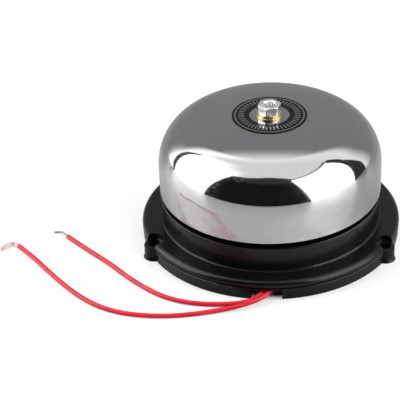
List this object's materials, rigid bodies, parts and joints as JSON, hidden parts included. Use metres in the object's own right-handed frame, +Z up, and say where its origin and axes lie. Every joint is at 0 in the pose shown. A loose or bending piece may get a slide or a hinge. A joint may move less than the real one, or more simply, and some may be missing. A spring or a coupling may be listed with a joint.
{
  "type": "electric bell",
  "caption": "Under-dome electric bell: a polished steel gong over a round black base, struck from inside by a push solenoid, with two red leads.",
  "frame": {"origin": "centre of the base's underside, on the gong's axis", "axes": "+Z up the gong's axis, -Y to the notch where the leads come out, +X the way the striker moves"},
  "size_m": [0.1771, 0.1327, 0.0636],
  "materials": {
    "black_plastic": "satin moulded phenolic or ABS, black",
    "black_plastic_cover": "fine matt moulded plastic, black",
    "gong_steel": "pressed steel, polished and nickel-chrome plated",
    "label_print": "gloss black printed film ring with plain silver ticks",
    "zinc_steel": "zinc-plated steel",
    "bright_nut": "bright plated steel",
    "gold_zinc": "yellow-passivated zinc on steel",
    "frame_steel": "zinc-plated mild steel strip",
    "white_nylon": "natural nylon",
    "copper_wire": "enamelled copper wire",
    "coil_tape": "yellow polyester tape",
    "soft_iron": "turned soft iron, nickel flashed",
    "rod_steel": "stainless steel rod",
    "striker_nylon": "turned nylon",
    "spring_steel": "spring wire",
    "brass": "brass",
    "buffer_rubber": "rubber",
    "board_laminate": "brown paper laminate",
    "diode_black": "black epoxy",
    "red_pvc": "red PVC insulation",
    "coil_lead_sleeve": "black PVC insulation",
    "tinned_copper": "twisted tinned copper strands",
    "bare_copper": "loose copper strands, lightly tinned"
  },
  "bodies": {
    "root": {"base_housing": "black_plastic", "back_cover": "black_plastic_cover", "back_cover_screws": "zinc_steel", "gong_dome": "gong_steel", "label_ring": "label_print", "centre_stud": "zinc_steel", "stud_lock_washer": "zinc_steel", "stud_lock_nut": "zinc_steel", "dome_support_nut": "zinc_steel", "dome_support_washer": "zinc_steel", "flat_washer": "gold_zinc", "spring_washer": "gold_zinc", "dome_nut": "bright_nut", "solenoid_frame": "frame_steel", "coil_bobbin": "white_nylon", "coil_winding": "copper_wire", "coil_tape": "coil_tape", "pole_piece": "soft_iron", "return_spring": "spring_steel", "guide_bush": "brass", "rear_buffer": "buffer_rubber", "terminal_board": "board_laminate", "terminal_tags": "brass", "board_screws": "zinc_steel", "rectifier_diode": "diode_black", "lead_clamp": "board_laminate", "clamp_screws": "zinc_steel", "lead_wire_left": "red_pvc", "lead_wire_right": "red_pvc", "bare_strands_left": "tinned_copper", "bare_strands_right": "bare_copper", "coil_lead_left": "coil_lead_sleeve", "coil_lead_right": "coil_lead_sleeve"},
    "striker": {"plunger": "soft_iron", "push_rod": "rod_steel", "striker_tip": "striker_nylon", "spring_collar": "brass"}
  },
  "joints": [
    {"name": "striker_slide", "type": "slide", "parent": "root", "child": "striker", "axis": [1, 0, 0], "range_m": [0, 0.0028], "stiffness_N_per_m": 60, "springref_m": -0.004, "deforming": ["return_spring"]}
  ]
}
